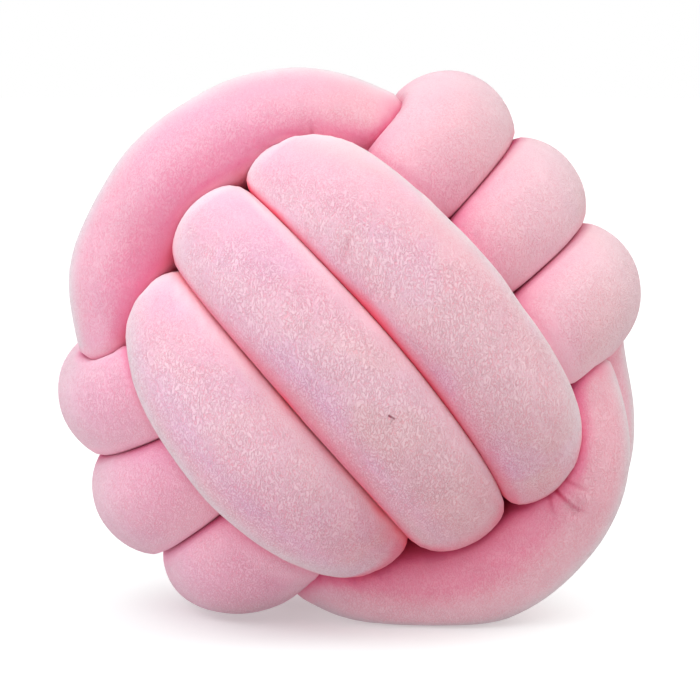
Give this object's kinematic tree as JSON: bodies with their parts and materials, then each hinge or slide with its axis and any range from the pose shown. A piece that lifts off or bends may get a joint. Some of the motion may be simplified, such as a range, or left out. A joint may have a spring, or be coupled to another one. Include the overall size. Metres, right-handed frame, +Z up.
{
  "type": "knot cushion",
  "caption": "Round decorative cushion made of a long stuffed velour tube wound into a ball-shaped knot, with a small flat spot to rest on.",
  "frame": {"origin": "centre of the bounding box, at the floor under the ball", "axes": "+Z up, -Y out of the front band, whose turns slope down to the right, +X to the right seen from the front"},
  "size_m": [0.2966, 0.2944, 0.2712],
  "materials": {
    "pink_velour": "short soft pile"
  },
  "bodies": {
    "root": {"knot_cushion": "pink_velour"}
  },
  "joints": []
}
